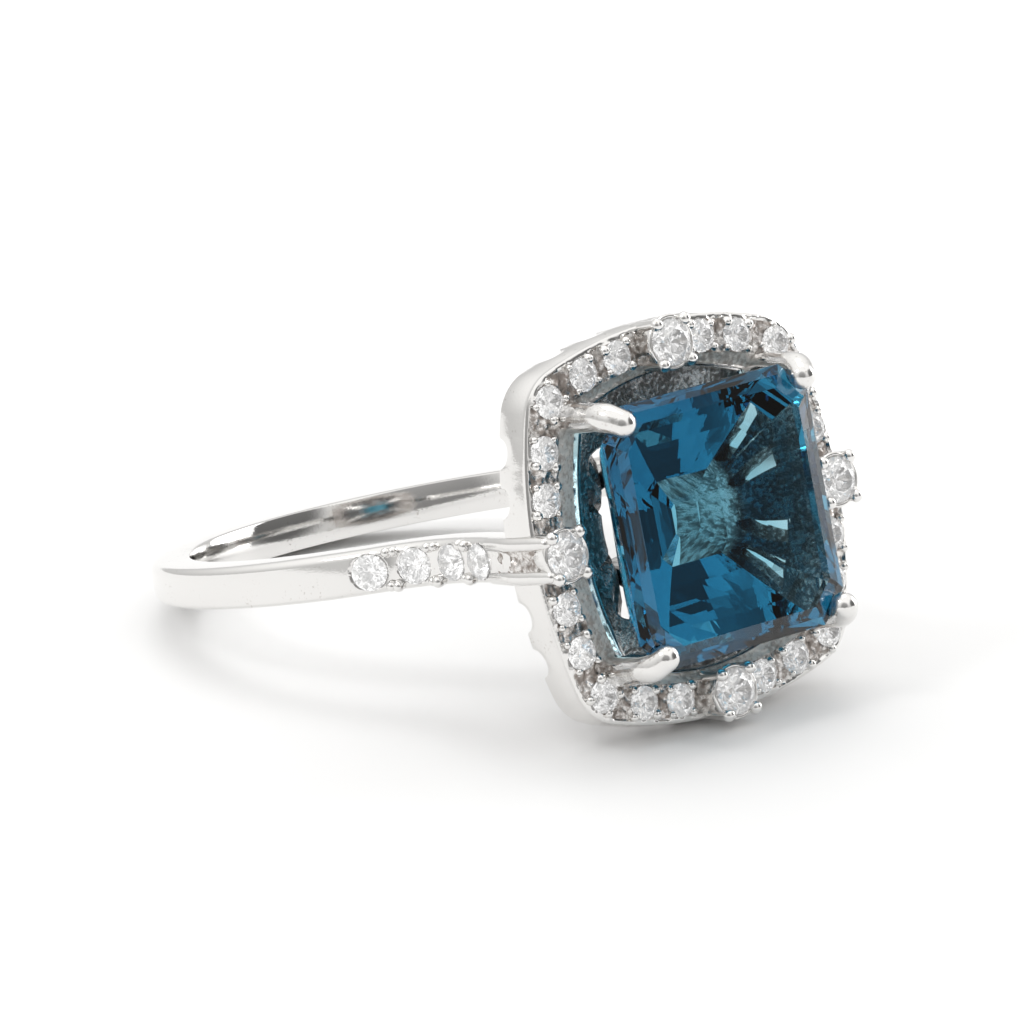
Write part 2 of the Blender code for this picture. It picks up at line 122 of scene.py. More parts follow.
class Value:
    """A socket that takes part in sums: each operator adds the Math node for it."""

    def __init__(self, graph: Graph, socket: bpy.types.NodeSocket) -> None:
        """Wraps one output socket of the graph."""
        self.graph = graph
        self.socket = socket

    def _math(self, operation: str, *terms: Value | float) -> Value:
        """Adds a Math node over the terms, in order."""
        return self.graph.add("ShaderNodeMath", dict(enumerate(terms)), operation=operation)

    def __add__(self, other: Value | float) -> Value:
        """Returns self + other."""
        return self._math("ADD", self, other)

    def __radd__(self, other: float) -> Value:
        """Returns other + self."""
        return self._math("ADD", other, self)

    def __sub__(self, other: Value | float) -> Value:
        """Returns self - other."""
        return self._math("SUBTRACT", self, other)

    def __rsub__(self, other: float) -> Value:
        """Returns other - self."""
        return self._math("SUBTRACT", other, self)

    def __mul__(self, other: Value | float) -> Value:
        """Returns self * other."""
        return self._math("MULTIPLY", self, other)

    def over(self, low: float, high: float) -> Value:
        """Returns a smooth step from 0 at low to 1 at high."""
        ends = {"Value": self, "From Min": low, "From Max": high}
        return self.graph.add("ShaderNodeMapRange", ends, interpolation_type="SMOOTHSTEP")


class Graph:
    """A node tree that nodes are added to by type, settings and socket values."""

    def __init__(self, tree: bpy.types.NodeTree) -> None:
        """Starts from an empty tree."""
        self.tree = tree
        tree.nodes.clear()

    def add(
        self,
        kind: str,
        inputs: dict[str | int, object] | None = None,
        output: str | int = 0,
        **settings: object,
    ) -> Value:
        """Adds a node.

        Args:
            kind: The node's type.
            inputs: Values or links of its sockets, by name or number.
            output: Which of its outputs to return.
            **settings: Its own settings, set before its sockets.

        Returns:
            The chosen output, or the node's first input when it has no output.
        """
        node = self.tree.nodes.new(kind)
        for name, value in settings.items():
            setattr(node, name, value)
        for name, value in (inputs or {}).items():
            if isinstance(value, Value):
                self.tree.links.new(value.socket, node.inputs[name])
            else:
                node.inputs[name].default_value = value
        return Value(self, node.outputs[output] if node.outputs else node.inputs[0])

    def noise(self, scale: float, detail: float, place: Value, roughness: float = 0.5) -> Value:
        """Returns noise of a scale, per metre, over a place."""
        inputs = {"Vector": place, "Scale": scale, "Detail": detail, "Roughness": roughness}
        return self.add("ShaderNodeTexNoise", inputs)

    def mix(self, share: Value, first: tuple | Value, second: tuple | Value) -> Value:
        """Returns the colour between first and second at a share."""
        return self.add("ShaderNodeMix", {0: share, 6: first, 7: second}, output=2, data_type="RGBA")

    def surface(self, sockets: dict[str, object], **other_ends: Value) -> None:
        """Ends a material's graph with a Principled shader of these sockets."""
        shader = self.add("ShaderNodeBsdfPrincipled", sockets)
        self.add("ShaderNodeOutputMaterial", {"Surface": shader, **other_ends})


def new_graph(name: str) -> tuple[Material, Graph]:
    """Makes a material with an empty graph."""
    material = bpy.data.materials.new(name)
    material.use_nodes = True
    return material, Graph(material.node_tree)


# Finishes


@dataclass(frozen=True)
class WhiteGold:
    """Rhodium-bright white gold.

    Attributes:
        name: The material's name.
        light: The colour of its polished parts.
        shade: The colour where polish doesn't reach; in the cast, ground and drawn finishes it is darkened into
            painted shade.
        smooth: Roughness where it is polished.
        rough: Roughness where it isn't.
        ripple: How far hand polishing leaves the surface wavy, in millimetres.
        grain: How deep the cast grain is, in millimetres.
        grain_scale: Grains in a millimetre.
        wear_and_shade: Share of the surface that stays unpolished and takes the shade colour, which is painted
            shade where that colour is dark, from 0 to 1.
        streak: How many times longer than wide the grains are, towards the topaz.
        mirror: Share of the surface that reflects as metal; the rest scatters like ground metal.
    """

    name: str
    light: Color = (0.82, 0.81, 0.795, 1.0)
    shade: Color = (0.55, 0.52, 0.49, 1.0)
    smooth: float = 0.07
    rough: float = 0.26
    ripple: float = 0.006
    grain: float = 0.004
    grain_scale: float = 9.0
    wear_and_shade: float = 0.1
    streak: float = 1.0
    mirror: float = 1.0

    def material(self) -> Material:
        """Returns the finish as a material."""
        material, graph = new_graph(self.name)
        place = graph.add("ShaderNodeTexCoord", output="Object")
        if self.streak > 1.0:
            turn = (math.radians(RING.tilt), 0.0, 0.0)
            drawn = {"Vector": place, "Rotation": turn, "Scale": (1.0, self.streak, 1.0)}
            place = graph.add("ShaderNodeMapping", drawn, vector_type="TEXTURE")
        cloud = graph.noise(900.0, 3.0, place)
        grains = graph.noise(self.grain_scale / MM, 4.0, place, 0.6)
        pits = graph.noise(2.6 * self.grain_scale / MM, 2.0, place)
        # Random dull patches take the rough finish and the shade colour, which is painted shade in the darker
        # finishes.
        dull = (cloud * 0.4 + grains * 0.6).over(0.62 - 0.3 * self.wear_and_shade, 0.72 - 0.22 * self.wear_and_shade)
        wave = graph.noise(650.0, 1.0, place)
        height = wave * self.ripple + grains * self.grain + pits * (self.grain * 0.35)
        normal = graph.add("ShaderNodeBump", {"Height": height, "Distance": MM, "Strength": 1.0})
        sockets = {
            "Base Color": graph.mix(dull, self.light, self.shade),
            "Metallic": self.mirror,
            "Roughness": self.smooth + dull * (self.rough - self.smooth),
            "Normal": normal,
        }
        graph.surface(sockets)
        return material


@dataclass(frozen=True)
class CutStone:
    """A clear cut stone, coloured in its depth.

    Attributes:
        name: The material's name.
        ior: Its index of refraction.
        tint: The colour that light keeps over the clear distance.
        clear: Over how many millimetres light takes on the tint, or 0 for a colourless stone.
        clarity: Share of the light that passes through it; the rest comes back white.
        glow: Faint white light of its own, for the many reflections too small to model.
    """

    name: str
    ior: float
    tint: Color = (1.0, 1.0, 1.0, 1.0)
    clear: float = 0.0
    clarity: float = 1.0
    glow: float = 0.0

    def material(self) -> Material:
        """Returns the stone as a material."""
        material, graph = new_graph(self.name)
        glass = {
            "Base Color": (1.0, 1.0, 1.0, 1.0),
            "Roughness": 0.0,
            "IOR": self.ior,
            "Transmission Weight": self.clarity,
            "Emission Color": (1.0, 1.0, 1.0, 1.0),
            "Emission Strength": self.glow,
        }
        body = {}
        if self.clear:
            losses = [-math.log(share) / (self.clear * MM) for share in self.tint[:3]]
            density = max(losses) * 1.02
            color = [1.0 - loss / density for loss in losses] + [1.0]
            depth = {"Color": tuple(color), "Density": density}
            body["Volume"] = graph.add("ShaderNodeVolumeAbsorption", depth)
        graph.surface(glass, **body)
        return material


@dataclass(frozen=True)
class Paper:
    """The pale sheet that the ring lies on."""

    color: Color = (0.9, 0.9, 0.9, 1.0)
    tooth: float = 0.01

    def material(self) -> Material:
        """Returns the sheet's material, with a faint tooth."""
        material, graph = new_graph("paper")
        place = graph.add("ShaderNodeTexCoord", output="Object")
        tooth = graph.noise(1200.0, 3.0, place)
        normal = graph.add("ShaderNodeBump", {"Height": tooth, "Distance": self.tooth * MM})
        sockets = {"Base Color": self.color, "Roughness": 0.55, "Normal": normal, "Specular IOR Level": 0.25}
        graph.surface(sockets)
        return material


# Meshes


def add_object(name: str, data: bpy.types.ID) -> Object:
    """Adds an object that shows the data."""
    obj = bpy.data.objects.new(name, data)
    bpy.context.scene.collection.objects.link(obj)
    return obj


def outward_mesh(name: str, points: Sequence[Place], faces: Sequence, merge: float) -> bpy.types.Mesh:
    """Makes a mesh in metres.

    Args:
        name: The mesh's name.
        points: Its points.
        faces: Corners of each face, as numbers of points.
        merge: How close two corners have to be to become one, or 0 to leave them all.

    Returns:
        The mesh, with its faces pointing outwards.
    """
    mesh = bpy.data.meshes.new(name)
    mesh.from_pydata(points, [], [list(face) for face in faces])
    bm = bmesh.new()
    bm.from_mesh(mesh)
    if merge:
        bmesh.ops.remove_doubles(bm, verts=bm.verts, dist=merge)
    bmesh.ops.recalc_face_normals(bm, faces=bm.faces)
    bm.to_mesh(mesh)
    bm.free()
    return mesh


def make_mesh(name: str, points: np.ndarray, faces: list[list[int]], sharp: float | None = 35.0) -> Object:
    """Makes an object from places in the ring's frame.

    Args:
        name: The object's name.
        points: Rows of (x, h, a) in millimetres.
        faces: Corners of each face, as numbers of points.
        sharp: Degrees past which an edge stays sharp, or None for flat facets.

    Returns:
        The object, with its faces pointing outwards.
    """
    mesh = outward_mesh(name, RING.place(np.asarray(points, float)).tolist(), faces, merge=0.001 * MM)
    if sharp is not None:
        mesh.shade_smooth()
        mesh.set_sharp_from_angle(angle=math.radians(sharp))
    return add_object(name, mesh)


def modified_mesh(obj: Object, name: str) -> bpy.types.Mesh:
    """Returns the object's mesh with its modifiers applied."""
    graph = bpy.context.evaluated_depsgraph_get()
    made = bpy.data.meshes.new_from_object(obj.evaluated_get(graph))
    made.name = name
    return made


def arc(turns: Sequence[float]) -> list[tuple[float, float]]:
    """Returns the (cosine, sine) of each turn, in degrees."""
    return [(math.cos(math.radians(turn)), math.sin(math.radians(turn))) for turn in turns]


def quarter_turned(x: float, a: float, quarter: int) -> tuple[float, float]:
    """Turns (x, a) about the head's middle by quarter turns, from +a towards +x."""
    spin = math.pi / 2 * quarter
    return x * math.cos(spin) + a * math.sin(spin), a * math.cos(spin) - x * math.sin(spin)


def loft(sections: np.ndarray, closed: bool) -> Skin:
    """Skins rows of equal loops, either joined in a ring or capped at both ends.

    Args:
        sections: An array of loops by points by three.
        closed: Whether the last loop joins the first.

    Returns:
        The points and the faces.
    """
    count, sides = sections.shape[:2]
    faces = []
    for i in range(count if closed else count - 1):
        j = (i + 1) % count
        for k in range(sides):
            m = (k + 1) % sides
            faces.append([i * sides + k, i * sides + m, j * sides + m, j * sides + k])
    if not closed:
        faces.append(list(range(sides))[::-1])
        faces.append([(count - 1) * sides + k for k in range(sides)])
    return sections.reshape(-1, 3), faces


def smooth_path(places: Sequence[Place], radii: Sequence[float], steps: int = 6) -> list[tuple[Vector, float]]:
    """Runs a smooth curve through places, in steps, with a radius that eases from one to the next."""
    points = [Vector(place) for place in places]
    ends = [points[0] * 2 - points[1], *points, points[-1] * 2 - points[-2]]
    path = []
    for i in range(len(points) - 1):
        before, start, end, after = ends[i : i + 4]
        for k in range(steps):
            t = k / steps
            curve = (
                start * 2
                + (end - before) * t
                + (before * 2 - start * 5 + end * 4 - after) * t**2
                + (start * 3 - before - end * 3 + after) * t**3
            )
            path.append((curve / 2, radii[i] + (radii[i + 1] - radii[i]) * t))
    path.append((points[-1], radii[-1]))
    return path


def rod(places: Sequence[Place], radii: Sequence[float], sides: int) -> Skin:
    """Sweeps a round rod through places, with a ball's end at the last one.

    Args:
        places: Places (x, h, a) along its middle.
        radii: Its radius at each place.
        sides: How many sides it has.

    Returns:
        Its points and faces.
    """
    path = smooth_path(places, radii)
    ahead = (path[-1][0] - path[-2][0]).normalized()
    tip, radius = path[-1]
    for across, along in arc((15, 30, 45, 60, 72, 82)):
        path.append((tip + ahead * radius * along, radius * across))
    side = Vector((1.0, 0.2, -1.0))
    turns = [math.tau * k / sides for k in range(sides)]
    sections = []
    for i, (place, radius) in enumerate(path):
        ahead = (path[min(i + 1, len(path) - 1)][0] - path[max(i - 1, 0)][0]).normalized()
        side = (side - ahead * side.dot(ahead)).normalized()
        other = ahead.cross(side)
        sections.append([place + (side * math.cos(t) + other * math.sin(t)) * radius for t in turns])
    return loft(np.array(sections), closed=False)


def lumps(points: np.ndarray, size: float, seed: int) -> np.ndarray:
    """Returns soft hills and hollows over rows of points, from about -1 to 1.

    Args:
        points: Rows of places.
        size: The width of a hill, in millimetres.
        seed: What the hills are drawn from.
    """
    source = np.random.default_rng(seed)
    total = np.zeros(len(points))
    for _ in range(14):
        way = source.normal(size=points.shape[1])
        way *= math.pi / (size * np.linalg.norm(way)) * source.uniform(0.6, 1.4)
        total += np.sin(points @ way + source.uniform(0, math.tau))
    return total / 3.8


def nearest(points: np.ndarray, centres: Sequence[tuple[float, float]]) -> np.ndarray:
    """Returns how far each row of (x, a) is from the nearest centre."""
    return np.linalg.norm(points[:, None, :] - np.array(centres)[None], axis=2).min(axis=1)


def join(parts: Sequence[Skin]) -> Skin:
    """Puts several (points, faces) into one."""
    points, faces, base = [], [], 0
    for part_points, part_faces in parts:
        points.append(part_points)
        faces += [[base + corner for corner in face] for face in part_faces]
        base += len(part_points)
    return np.concatenate(points), faces


def finish_piece(obj: Object, material: Material) -> Object:
    """Dresses a piece and lets it ride on the ring's body."""
    obj.data.materials.clear()
    obj.data.materials.append(material)
    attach(obj, "root")
    log.info("%s: %d faces", obj.name, len(obj.data.polygons))
    return obj


# Repeats, by geometry nodes


@dataclass
class Repeat:
    """Copies of one small shape on a set of places, each facing its own way.

    Attributes:
        name: The piece's name.
        copies: Each copy's place (x, h, a), the direction (x, h, a) its own z axis takes, and its size as a share.
        spin: The most that a copy turns about its own axis, in degrees.
        seed: What the turns are drawn from.
    """

    name: str
    copies: list[tuple[Place, Place, float]] = field(default_factory=list)
    spin: float = 180.0
    seed: int = 7

    def add(self, place: Place, facing: Place, size: float = 1.0) -> None:
        """Adds one copy."""
        self.copies.append((place, facing, size))

    def build(self, shape: Object, material: Material, slot: Slot) -> Object:
        """Makes the copies into one plain mesh.

        Args:
            shape: The shape to copy, modelled in metres about the origin; it is removed afterwards.
            material: The finish of the copies.
            slot: Not used.

        Returns:
            The finished piece.
        """
        places, facings, sizes = zip(*self.copies)
        mesh = bpy.data.meshes.new(f"{self.name}_places")
        mesh.from_pydata(RING.place(np.array(places, float)).tolist(), [], [])
        facing = mesh.attributes.new("facing", "FLOAT_VECTOR", "POINT")
        facing.data.foreach_set("vector", [part for way in facings for part in RING.direction(way)])
        size = mesh.attributes.new("size", "FLOAT", "POINT")
        size.data.foreach_set("value", sizes)
        base = add_object(f"{self.name}_base", mesh)
        modifier = base.modifiers.new("repeat", "NODES")
        modifier.node_group = self._tree()
        sockets = {item.name: item.identifier for item in modifier.node_group.interface.items_tree}
        modifier[sockets["Shape"]] = shape
        modifier[sockets["Spin"]] = math.radians(self.spin)
        modifier[sockets["Seed"]] = self.seed
        modifier[sockets["Finish"]] = material
        made = modified_mesh(base, self.name)
        for old in (base, shape):
            bpy.data.objects.remove(old)
        return finish_piece(add_object(self.name, made), material)

    @staticmethod
    def _tree() -> bpy.types.GeometryNodeTree:
        """Builds the tree: the shape on every point, turned, sized, realised and given its finish."""
        tree = bpy.data.node_groups.new("repeat_on_places", "GeometryNodeTree")
        sockets = (
            ("Geometry", "INPUT", "NodeSocketGeometry"),
            ("Shape", "INPUT", "NodeSocketObject"),
            ("Spin", "INPUT", "NodeSocketFloat"),
            ("Seed", "INPUT", "NodeSocketInt"),
            ("Finish", "INPUT", "NodeSocketMaterial"),
            ("Pieces", "OUTPUT", "NodeSocketGeometry"),
        )
        for name, side, kind in sockets:
            tree.interface.new_socket(name, in_out=side, socket_type=kind)
        graph = Graph(tree)
        given = graph.add("NodeGroupInput").socket.node.outputs
        inputs = {socket.name: Value(graph, socket) for socket in given if socket.name}
        facing, size = (
            graph.add("GeometryNodeInputNamedAttribute", {"Name": name}, data_type=kind)
            for name, kind in (("facing", "FLOAT_VECTOR"), ("size", "FLOAT"))
        )
        aligned = graph.add("FunctionNodeAlignRotationToVector", {"Vector": facing}, axis="Z")
        low = inputs["Spin"] * -1.0
        ends = {2: low, 3: inputs["Spin"], "Seed": inputs["Seed"]}
        turn = graph.add("FunctionNodeRandomValue", ends, output=1, data_type="FLOAT")
        angles = graph.add("ShaderNodeCombineXYZ", {"Z": turn})
        turned = graph.add("FunctionNodeEulerToRotation", {0: angles})
        both = {"Rotation": aligned, "Rotate By": turned}
        rotation = graph.add("FunctionNodeRotateRotation", both, rotation_space="LOCAL")
        shape = graph.add("GeometryNodeObjectInfo", {"Object": inputs["Shape"]}, output="Geometry")
        on_points = {"Points": inputs["Geometry"], "Instance": shape, "Rotation": rotation, "Scale": size}
        copies = graph.add("GeometryNodeInstanceOnPoints", on_points)
        real = graph.add("GeometryNodeRealizeInstances", {"Geometry": copies})
        dressed = graph.add("GeometryNodeSetMaterial", {"Geometry": real, "Material": inputs["Finish"]})
        graph.add("NodeGroupOutput", {"Pieces": dressed})
        return tree


def small_shape(name: str, points: Sequence[Place], faces: Sequence[Sequence[int]], smooth: bool) -> Object:
    """Makes a shape about the origin, in millimetres with its own z axis up, for Repeat to copy."""
    mesh = outward_mesh(name, [Vector(point) * MM for point in points], faces, merge=0.0)
    if smooth:
        mesh.shade_smooth()
    return add_object(name, mesh)


def brilliant_shape(name: str, diameter: float) -> Object:
    """Makes a round brilliant about the middle of its girdle, its table facing +z."""
    radius = diameter / 2
    crown, girdle, depth = 0.16 * diameter, 0.02 * diameter, 0.43 * diameter
    rings = (
        (8, 0.0, 0.56, girdle + crown),
        (8, 0.5, 0.8, girdle + crown * 0.62),
        (16, 0.0, 1.0, girdle),
        (16, 0.0, 1.0, -girdle),
        (8, 0.5, 0.24, -girdle - depth * 0.78),
    )
    points, starts = [], []
    for count, shift, share, height in rings:
        starts.append(len(points))
        for i in range(count):
            turn = math.tau * (i + shift) / count
            points.append((radius * share * math.cos(turn), radius * share * math.sin(turn), height))
    table, kites, upper, lower, deep = starts
    culet = len(points)
    points.append((0.0, 0.0, -girdle - depth))
    faces = [[table + i for i in range(8)]]
    for i in range(8):
        j, even, odd, after = (i + 1) % 8, 2 * i, 2 * i + 1, (2 * i + 2) % 16
        faces.append([table + i, kites + i, table + j])
        faces.append([table + i, kites + (i - 1) % 8, upper + even, kites + i])
        faces.append([kites + i, upper + even, upper + odd])
        faces.append([kites + i, upper + odd, upper + after])
        faces.append([lower + even, lower + odd, deep + i])
        faces.append([lower + odd, lower + after, deep + i])
        faces.append([lower + after, deep + j, culet, deep + i])
    for i in range(16):
        j = (i + 1) % 16
        faces.append([upper + i, upper + j, lower + j, lower + i])
    return small_shape(name, points, faces, smooth=False)


def turned_shape(name: str, profile: Sequence[tuple[float, float]], sides: int) -> Object:
    """Turns (radius, height) pairs about z into a closed smooth shape."""
    turns = [math.tau * k / sides for k in range(sides)]
    loops = [[(radius * math.cos(t), radius * math.sin(t), height) for t in turns] for radius, height in profile]
    points, faces = loft(np.array(loops), closed=False)
    return small_shape(name, points.tolist(), faces, smooth=True)


# The halo's outline


@dataclass(frozen=True)
class Outline:
    """Four bowed sides, each an arc, and four rounded corners.

    Attributes:
        reach: From the head's middle to the middle of a side's row of stones.
        bow: How far a side's middle stands out past its ends.
        corner_radius: The radius of a corner.
    """

    reach: float = 6.0
    bow: float = 0.9
    corner_radius: float = 1.1

    @property
    def bow_radius(self) -> float:
        """The radius of a side's arc."""
        chord = self.reach - self.bow
        return (chord**2 + self.bow**2) / (2 * self.bow)

    @property
    def back(self) -> float:
        """How far behind the head's middle the centre of a side's arc lies."""
        return self.bow_radius - self.reach

    @property
    def corner(self) -> float:
        """How far along x and along a the centre of a corner lies."""
        inner = self.bow_radius - self.corner_radius
        return (math.sqrt(2 * inner**2 - self.back**2) - self.back) / 2

    @property
    def bend(self) -> float:
        """The angle at which a side's arc meets its corner."""
        return math.atan2(self.corner, self.corner + self.back)

    def at(self, quarter: int, angle: float, offset: float) -> tuple[float, float]:
        """Returns (x, a) at an angle from the middle of a side, moved out by offset."""
        if angle > self.bend:
            reach = self.corner_radius + offset
            x = self.corner + reach * math.sin(angle)
            a = self.corner + reach * math.cos(angle)
        else:
            reach = self.bow_radius + offset
            x = reach * math.sin(angle)
            a = reach * math.cos(angle) - self.back
        return quarter_turned(x, a, quarter)

    def angles(self, side_steps: int, corner_steps: int) -> list[tuple[int, float]]:
        """Returns (quarter, angle) pairs all the way round."""
        pairs = []
        corner_sweep = math.pi / 2 - 2 * self.bend
        for quarter in range(4):
            for i in range(side_steps):
                pairs.append((quarter, -self.bend + 2 * self.bend * i / side_steps))
            for i in range(corner_steps):
                pairs.append((quarter, self.bend + corner_sweep * (i + 0.5) / corner_steps))
        return pairs


OUTLINE = Outline()


# The ring's pieces


@dataclass
class Topaz:
    """The square topaz with cut corners, a step-cut crown and a pavilion of many small facets."""

    side: float = 9.0
    corner_cut: float = 1.05
    girdle_top: float = 16.06
    girdle: float = 0.12
    crown: tuple[tuple[float, float], ...] = ((0.32, 0.16), (0.4, 0.12))
    pavilion: tuple[tuple[float, float], ...] = (
        (0.5, 0.84),
        (0.6, 0.84),
        (0.64, 0.76),
        (0.66, 0.7),
        (0.65, 0.61),
        (0.9, 0.36),
    )
    column: float = 1.2
    half_columns: int = 3
    unevenness: float = 0.045
    seed: int = 11

    def _loop(self, half: float, cut: float, height: float, uneven: float, rng: random.Random) -> Section:
        """Goes once round the stone.

        Args:
            half: Half the stone's width there.
            cut: How much its corners are cut there.
            height: The height there.
            uneven: The most that a facet's corner moves in or out.
            rng: What the moves are drawn from.

        Returns:
            The points, with each side marked off in columns.
        """
        corners = []
        for x, a in ((1, 1), (1, -1), (-1, -1), (-1, 1)):
            near = (x * half, a * (half - cut))
            far = (x * (half - cut), a * half)
            corners += [far, near] if x * a > 0 else [near, far]
        loop = []
        for i, start in enumerate(corners):
            end = corners[(i + 1) % 8]
            loop.append((start[0], height, start[1]))
            if i % 2 == 0:
                continue
            reach = math.dist(start, end) / 2
            for k in range(-self.half_columns, self.half_columns):
                mark = (k + 0.5) * self.column + rng.uniform(-2.5, 2.5) * uneven
                push = rng.uniform(-uneven, uneven) if abs(mark) < reach - 0.1 else 0.0
                share = 0.5 + min(max(mark / reach, -1.0), 1.0) / 2 if push else float(mark > 0)
                x = start[0] + (end[0] - start[0]) * share
                a = start[1] + (end[1] - start[1]) * share
                length = math.hypot(x, a)
                loop.append((x * (1 + push / length), height + push * 0.6, a * (1 + push / length)))
        return loop

    def build(self, material: Material) -> Object:
        """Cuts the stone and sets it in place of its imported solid."""
        rng = random.Random(self.seed)
        half = self.side / 2
        levels = []
        inset, height = 0.0, self.girdle_top
        for step_in, step_up in self.crown:
            inset += step_in
            height += step_up
            levels.insert(0, self._loop(half - inset, self.corner_cut - inset * 0.3, height, 0.0, rng))
        levels.append(self._loop(half, self.corner_cut, self.girdle_top, 0.0, rng))
        levels.append(self._loop(half, self.corner_cut, self.girdle_top - self.girdle, 0.0, rng))
        inset, height = 0.0, self.girdle_top - self.girdle
        for row, (step_in, step_down) in enumerate(self.pavilion):
            inset += step_in
            height -= step_down
            cut = self.corner_cut * (1 - inset / half)
            last = row == len(self.pavilion) - 1
            levels.append(self._loop(half - inset, cut, height, 0.0 if last else self.unevenness, rng))
        points, faces = loft(np.array(levels), closed=False)
        obj = make_mesh("topaz_stone", points, faces, sharp=None)
        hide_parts("topaz")
        return finish_piece(obj, material)


@dataclass
class Band:
    """The finger band with both shoulders."""

    finger_radius: float = 8.65
    thickness: float = 1.45
    width: float = 1.35
    shoulder_width: float = 1.55
    shoulder_thickness: float = 1.15
    shoulder_angle: float = 42.0
    dome: float = 0.05
    chamfer: tuple[float, float] = (0.2, 0.3)
    inner_edge: float = 0.06
    seat_face: float = 0.2
    stone_diameter: float = 1.25
    stone_start: float = 2.2
    stone_spacing: float = 1.62
    stones: int = 4
    end_reach: float = 6.92
    end_height: float = 13.05

    def path(self, steps: int) -> list[tuple[Vector, Vector]]:
        """Returns (outer point, direction) along one side of the band, from its far end to its cup."""
        radius = self.finger_radius + self.thickness
        path = []
        for i in range(steps):
            angle = math.radians(-90 + (self.shoulder_angle + 90) * i / steps)
            place = Vector((math.cos(angle), math.sin(angle))) * radius
            path.append((place, Vector((-math.sin(angle), math.cos(angle)))))
        angle = math.radians(self.shoulder_angle)
        start = Vector((math.cos(angle), math.sin(angle))) * radius
        start_way = Vector((-math.sin(angle), math.cos(angle)))
        end = Vector((self.end_reach, self.end_height))
        end_way = Vector((0.17, 1.0)).normalized()
        pull = (end - start).length * 0.36
        first, second = start + start_way * pull, end - end_way * pull
        for i in range(steps // 2 + 1):
            t = i / (steps // 2)
            u = 1 - t
            place = u**3 * start + 3 * u * u * t * first + 3 * u * t * t * second + t**3 * end
            way = u * u * (first - start) + 2 * u * t * (second - first) + t * t * (end - second)
            path.append((place, way.normalized()))
        return path

    def stone_places(self) -> list[tuple[Vector, Vector]]:
        """Returns (place, outward direction) of each shoulder stone on the +x side, from the head down."""
        path = self.path(160)
        places = []
        travelled, wanted = 0.0, self.stone_start
        for (place, way), (before, _) in zip(path[-2::-1], path[:0:-1]):
            travelled += (place - before).length
            if travelled >= wanted and len(places) < self.stones:
                places.append((place + way * (travelled - wanted), Vector((way.y, -way.x))))
                wanted += self.stone_spacing
        return places

    def _section(self, place: Vector, way: Vector, share: float, seats: list) -> Section:
        """Makes the band's section: a domed outer face, flat sides and a flat inner face.

        Args:
            place: The outer face's middle, as (x, h).
            way: The band's direction there.
            share: How far along the half of the band it is, from the far side to its cup.
            seats: The shoulder stones' places.

        Returns:
            The section's points.
        """
        widen = min(max((share - 0.3) / 0.3, 0.0), 1.0)
        half = (self.width + (self.shoulder_width - self.width) * widen) / 2
        thin = min(max((share - 0.62) / 0.3, 0.0), 1.0)
        thickness = self.thickness + (self.shoulder_thickness - self.thickness) * thin
        (across, deep), inner, out = self.chamfer, self.inner_edge, Vector((way.y, -way.x))
        profile = []
        for k in range(-10, 11):
            a = k / 10 * (half - across)
            profile.append((-self.dome * (a / half) ** 2, a))
        for fall, run in arc((20, 40, 65, 90)):
            profile.append((-self.dome - (deep - self.dome) * (1 - fall), half - across + across * run))
        for depth in (0.5, 0.75):
            profile.append((-thickness * depth, half))
        for run, fall in arc((0, 45, 90)):
            profile.append((-thickness + inner * (1 - fall), half - inner + inner * run))
        profile += [(depth, -a) for depth, a in profile[:20:-1]]
        section = []
        for depth, a in profile:
            point = place + out * depth
            if depth > -self.seat_face:
                point = point - out * self._seat_depth(point, a, seats)
            section.append((point.x, point.y, a))
        return section

    def _seat_depth(self, point: Vector, a: float, seats: list) -> float:
        """Returns how far the face sinks at a point for the shoulder stones' seats."""
        radius = self.stone_diameter / 2
        for centre, _ in seats:
            distance = math.hypot((point - centre).length, a)
            if distance < radius:
                return min((radius - distance) * 1.2, 0.5)
        return 0.0

    def build(self, material: Material) -> Object:
        """Sweeps the band from cup to cup round the far side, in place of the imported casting."""
        path = self.path(220)
        seats = self.stone_places()
        count = len(path) - 1
        right = [self._section(place, way, i / count, seats) for i, (place, way) in enumerate(path)]
        left = [[(-x, h, a) for x, h, a in section] for section in right[:0:-1]]
        obj = make_mesh("band", *loft(np.array(left + right), closed=False))
        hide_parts("ring_casting")
        return finish_piece(obj, material)


